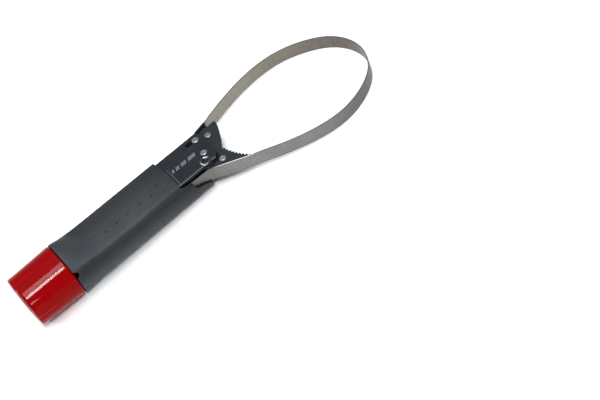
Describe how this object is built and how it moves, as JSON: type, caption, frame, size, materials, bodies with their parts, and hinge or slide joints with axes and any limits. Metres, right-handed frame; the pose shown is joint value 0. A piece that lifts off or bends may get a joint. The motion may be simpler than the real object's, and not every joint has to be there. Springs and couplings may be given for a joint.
{
  "type": "strap wrench",
  "caption": "Filter strap wrench: a steel band loop on a toothed swivel head, tightened by a screw knob in the end of a gripped handle.",
  "frame": {"origin": "centre of the wrench's bounding box at rest; z = 0 is the mid plane of the handle, head and band", "axes": "+X along the handle from the knob towards the strap loop, +Y to the left of it, +Z along the head's pivot, out of the face that the picture shows"},
  "size_m": [0.3061, 0.0925, 0.0422],
  "materials": {
    "black_steel": "gloss black paint over pressed steel",
    "grip_plastic": "matte bluish grey moulded grip",
    "knob_red": "glossy deep red moulding",
    "black_plastic": "satin black",
    "strap_steel": "rolled spring steel with faint heat tints",
    "rivet_steel": "bright plated steel",
    "zinc_steel": "zinc plated",
    "bronze": "bearing bronze",
    "nylon": "natural nylon"
  },
  "bodies": {
    "handle": {"frame_channel": "black_steel", "grip_sleeve": "grip_plastic", "rear_bulkhead": "zinc_steel", "rear_bulkhead_pin_left": "zinc_steel", "rear_bulkhead_pin_right": "zinc_steel", "front_bearing_plate": "zinc_steel", "front_bearing_plate_pin_left": "zinc_steel", "front_bearing_plate_pin_right": "zinc_steel", "bulkhead_bush": "bronze", "pivot_rivet": "black_steel", "guide_rivet": "rivet_steel", "pivot_washer_top": "black_plastic", "pivot_washer_bottom": "black_plastic"},
    "head": {"head_plate_top": "black_steel", "head_plate_bottom": "black_steel", "jaw_core": "black_steel", "strap_anchor": "black_steel", "anchor_screw": "rivet_steel", "stop_pin": "rivet_steel", "rivet_upper": "rivet_steel", "rivet_lower": "rivet_steel"},
    "strap": {"strap_band": "strap_steel"},
    "traveller": {"nut_block": "bronze", "slide_pad_top": "nylon", "slide_pad_bottom": "nylon", "strap_hook": "zinc_steel", "hook_screw": "zinc_steel"},
    "knob": {"knob_cap": "knob_red", "knob_insert": "zinc_steel", "knob_washer": "zinc_steel", "knob_nut": "zinc_steel", "knob_end_plug": "black_plastic", "lead_screw": "zinc_steel", "screw_clip": "zinc_steel", "thrust_washer": "bronze"}
  },
  "joints": [
    {"name": "knob_turn", "type": "hinge", "parent": "handle", "child": "knob", "pos_m": [-0.116, 0.0117, 0], "axis": [1, 0, 0], "range_deg": [-4320, 2520]},
    {"name": "nut_travel", "type": "slide", "parent": "handle", "child": "traveller", "axis": [-1, 0, 0], "range_m": [-0.0361, 0.0211]},
    {"name": "head_swing", "type": "hinge", "parent": "handle", "child": "head", "pos_m": [0.008, -0.0023, 0], "axis": [0, 0, 1], "range_deg": [0, 16]},
    {"name": "strap_take_up", "type": "slide", "parent": "head", "child": "strap", "axis": [-0.9974, 0.0718, 0], "range_m": [-0.01805, 0.01055], "deforming": ["strap_band"]}
  ],
  "couplings": [
    {"joint": "nut_travel", "follows": "knob_turn", "m_per_rad": 0.00047746},
    {"joint": "strap_take_up", "follows": "knob_turn", "m_per_rad": 0.00023873}
  ]
}
